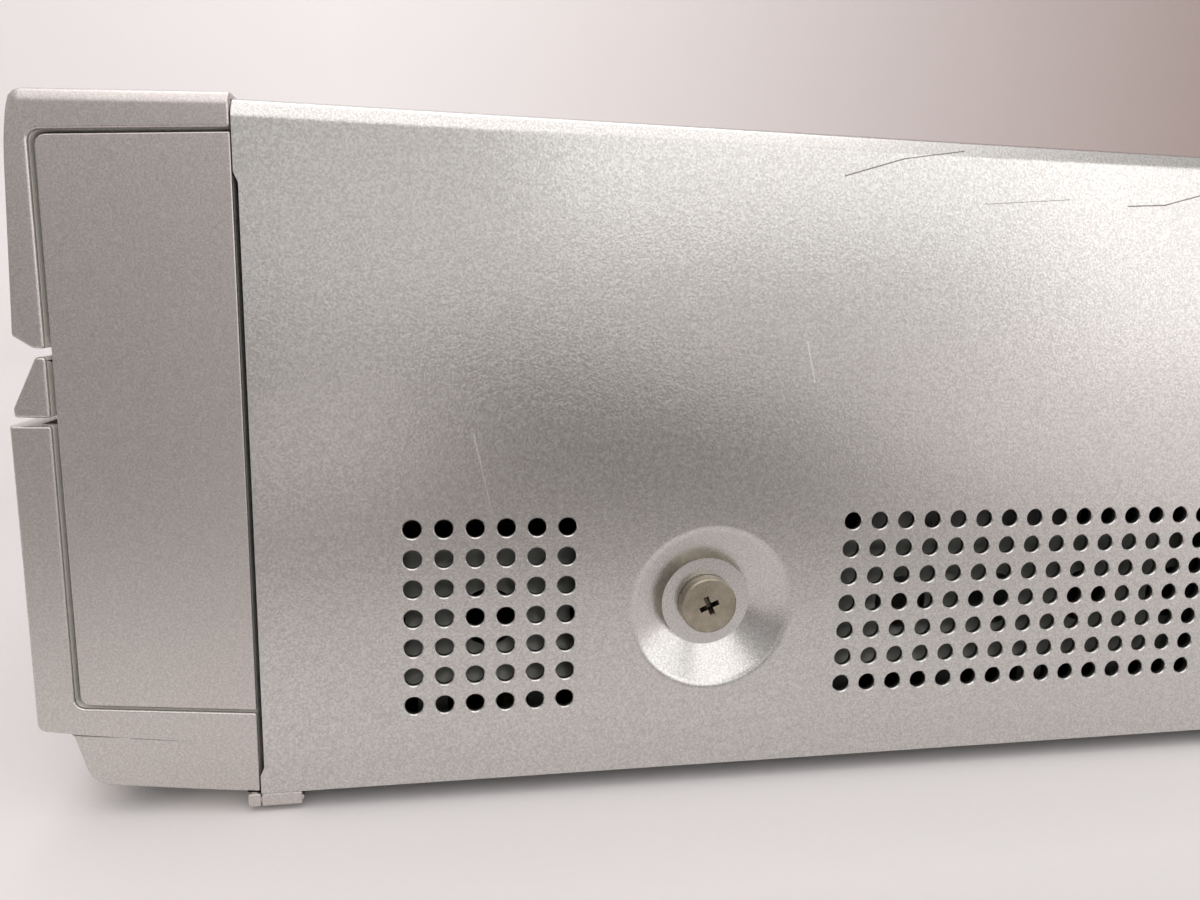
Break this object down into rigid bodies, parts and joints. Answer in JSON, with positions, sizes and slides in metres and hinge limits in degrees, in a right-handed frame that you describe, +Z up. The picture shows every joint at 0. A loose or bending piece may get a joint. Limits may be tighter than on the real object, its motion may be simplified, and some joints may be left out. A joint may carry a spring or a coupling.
{
  "type": "video cassette recorder",
  "caption": "Front-loading home video cassette recorder with a vented steel cover, moulded front, inward cassette flap, fold-down socket door, cassette carriage and tape transport.",
  "frame": {"origin": "on the floor, under the middle of the recorder", "axes": "+X to the recorder's right as its cover shows in the picture, -Y out of the front, +Z up"},
  "size_m": [0.435, 0.25, 0.0897],
  "materials": {
    "cover_paint": "silver flake paint",
    "plated_steel": "zinc plated, dull",
    "nickel": "warm nickel plate",
    "fascia_plastic": "fine spark texture, warm grey",
    "cheek_plastic": "fine spark texture, warm grey",
    "dark_plastic": "fine spark texture, warm grey",
    "key_plastic": "satin, warm grey",
    "smoked_window": "polished, smoked",
    "rubber": "dull black",
    "white_nylon": "off white",
    "black_nylon": "black",
    "aluminium": "turned",
    "iron_core": "dull",
    "circuit_board": "brown laminate",
    "jack_block": "black",
    "tube_glass": "clear over dark"
  },
  "bodies": {
    "casing": {"top_cover": "cover_paint", "cover_screw_right": "nickel", "cover_screw_left": "nickel", "rear_screw_1": "nickel", "rear_screw_2": "nickel", "base_pan": "plated_steel", "rear_panel": "plated_steel", "foot_front_right": "rubber", "foot_front_left": "rubber", "foot_rear_right": "rubber", "foot_rear_left": "rubber", "front_frame": "cheek_plastic", "upper_fascia": "fascia_plastic", "lower_fascia": "fascia_plastic", "control_strip": "dark_plastic", "display_window": "smoked_window", "deck_plate": "plated_steel", "bracket_left": "plated_steel", "bracket_right": "plated_steel", "lower_drum": "aluminium", "loading_motor": "iron_core", "ac_head": "nickel", "erase_head": "nickel", "main_board": "circuit_board", "power_board": "circuit_board", "front_board": "circuit_board", "transformer": "iron_core", "heat_sink": "aluminium", "tuner_can": "nickel", "rear_jack_block": "jack_block", "front_jack_block": "jack_block", "ac_inlet": "black_nylon", "display_tube": "tube_glass"},
    "cassette_flap": {"cassette_door": "fascia_plastic"},
    "socket_door": {"av_door": "fascia_plastic"},
    "rewind_key": {"rewind_button": "key_plastic"},
    "play_key": {"play_button": "key_plastic"},
    "fast_forward_key": {"fast_forward_button": "key_plastic"},
    "stop_key": {"stop_button": "key_plastic"},
    "pause_key": {"pause_button": "key_plastic"},
    "record_key": {"record_button": "key_plastic"},
    "power_key": {"power_button": "key_plastic"},
    "eject_key": {"eject_button": "key_plastic"},
    "slider": {"carriage_slider": "plated_steel"},
    "holder": {"cassette_holder": "plated_steel"},
    "rack_gear": {"carriage_gear": "white_nylon"},
    "drum": {"upper_drum": "aluminium"},
    "capstan": {"capstan_flywheel": "plated_steel"},
    "pinch_lever": {"pinch_arm": "plated_steel"},
    "pinch_wheel": {"pinch_roller": "rubber"},
    "tension_lever": {"tension_arm": "plated_steel"},
    "supply_reel": {"supply_reel_table": "black_nylon"},
    "takeup_reel": {"takeup_reel_table": "black_nylon"},
    "idler": {"idler_wheel": "white_nylon"},
    "supply_guide": {"guide_supply": "black_nylon"},
    "takeup_guide": {"guide_takeup": "black_nylon"},
    "mode_wheel": {"mode_gear": "white_nylon"}
  },
  "joints": [
    {"name": "cassette_flap_hinge", "type": "hinge", "parent": "casing", "child": "cassette_flap", "pos_m": [-0.055, -0.121, 0.0866], "axis": [1, 0, 0], "range_deg": [0, 92], "stiffness_Nm_per_rad": 0.02, "springref_deg": -17.19},
    {"name": "socket_door_hinge", "type": "hinge", "parent": "casing", "child": "socket_door", "pos_m": [0.126, -0.1234, 0.0194], "axis": [1, 0, 0], "range_deg": [0, 90]},
    {"name": "rewind_press", "type": "slide", "parent": "casing", "child": "rewind_key", "axis": [0, 0.8944, -0.4472], "range_m": [0, 0.0008], "stiffness_N_per_m": 300},
    {"name": "play_press", "type": "slide", "parent": "casing", "child": "play_key", "axis": [0, 0.8944, -0.4472], "range_m": [0, 0.0008], "stiffness_N_per_m": 300},
    {"name": "fast_forward_press", "type": "slide", "parent": "casing", "child": "fast_forward_key", "axis": [0, 0.8944, -0.4472], "range_m": [0, 0.0008], "stiffness_N_per_m": 300},
    {"name": "stop_press", "type": "slide", "parent": "casing", "child": "stop_key", "axis": [0, 0.8944, -0.4472], "range_m": [0, 0.0008], "stiffness_N_per_m": 300},
    {"name": "pause_press", "type": "slide", "parent": "casing", "child": "pause_key", "axis": [0, 0.8944, -0.4472], "range_m": [0, 0.0008], "stiffness_N_per_m": 300},
    {"name": "record_press", "type": "slide", "parent": "casing", "child": "record_key", "axis": [0, 0.8944, -0.4472], "range_m": [0, 0.0008], "stiffness_N_per_m": 300},
    {"name": "power_press", "type": "slide", "parent": "casing", "child": "power_key", "axis": [0, 1, 0], "range_m": [0, 0.0008], "stiffness_N_per_m": 300},
    {"name": "eject_press", "type": "slide", "parent": "casing", "child": "eject_key", "axis": [0, 1, 0], "range_m": [0, 0.0008], "stiffness_N_per_m": 300},
    {"name": "carriage_slide", "type": "slide", "parent": "casing", "child": "slider", "axis": [0, -1, 0], "range_m": [-0.058, 0]},
    {"name": "carriage_lift", "type": "slide", "parent": "slider", "child": "holder", "axis": [0, 0, 1], "range_m": [-0.024, 0]},
    {"name": "rack_gear_turn", "type": "hinge", "parent": "casing", "child": "rack_gear", "pos_m": [0.0431, -0.032, 0.037], "axis": [1, 0, 0], "range_deg": [-420, 0]},
    {"name": "drum_spin", "type": "hinge", "parent": "casing", "child": "drum", "pos_m": [-0.055, 0.062, 0.0307], "axis": [0, -0.0872, 0.9962], "continuous": true},
    {"name": "capstan_spin", "type": "hinge", "parent": "casing", "child": "capstan", "pos_m": [-0.002, 0.034, 0.03], "axis": [0, 0, 1], "continuous": true},
    {"name": "pinch_swing", "type": "hinge", "parent": "casing", "child": "pinch_lever", "pos_m": [0.026, 0.052, 0.03], "axis": [0, 0, 1], "range_deg": [0, 24]},
    {"name": "pinch_roller_spin", "type": "hinge", "parent": "pinch_lever", "child": "pinch_wheel", "pos_m": [0.00111, 0.04818, 0.04], "axis": [0, 0, 1], "continuous": true},
    {"name": "tension_swing", "type": "hinge", "parent": "casing", "child": "tension_lever", "pos_m": [-0.129, 0.023, 0.03], "axis": [0, 0, 1], "range_deg": [-16, 0]},
    {"name": "idler_spin", "type": "hinge", "parent": "casing", "child": "idler", "pos_m": [-0.055, -0.023, 0.03], "axis": [0, 0, 1], "continuous": true},
    {"name": "supply_spin", "type": "hinge", "parent": "casing", "child": "supply_reel", "pos_m": [-0.1012, -0.023, 0.03], "axis": [0, 0, 1], "continuous": true},
    {"name": "takeup_spin", "type": "hinge", "parent": "casing", "child": "takeup_reel", "pos_m": [-0.0088, -0.023, 0.03], "axis": [0, 0, 1], "continuous": true},
    {"name": "mode_turn", "type": "hinge", "parent": "casing", "child": "mode_wheel", "pos_m": [-0.139, 0.052, 0.03], "axis": [0, 0, 1], "range_deg": [0, 200]},
    {"name": "supply_guide_run", "type": "slide", "parent": "casing", "child": "supply_guide", "axis": [-0.2609, 0.9654, 0], "range_m": [0, 0.0383]},
    {"name": "takeup_guide_run", "type": "slide", "parent": "casing", "child": "takeup_guide", "axis": [0.2609, 0.9654, 0], "range_m": [0, 0.0383]}
  ],
  "couplings": [
    {"joint": "rack_gear_turn", "follows": "carriage_slide", "rad_per_m": 125},
    {"joint": "supply_spin", "follows": "idler_spin", "ratio": -0.9125},
    {"joint": "takeup_spin", "follows": "idler_spin", "ratio": -0.9125},
    {"joint": "supply_guide_run", "follows": "mode_turn", "m_per_rad": 0.0109},
    {"joint": "takeup_guide_run", "follows": "mode_turn", "m_per_rad": 0.0109}
  ]
}
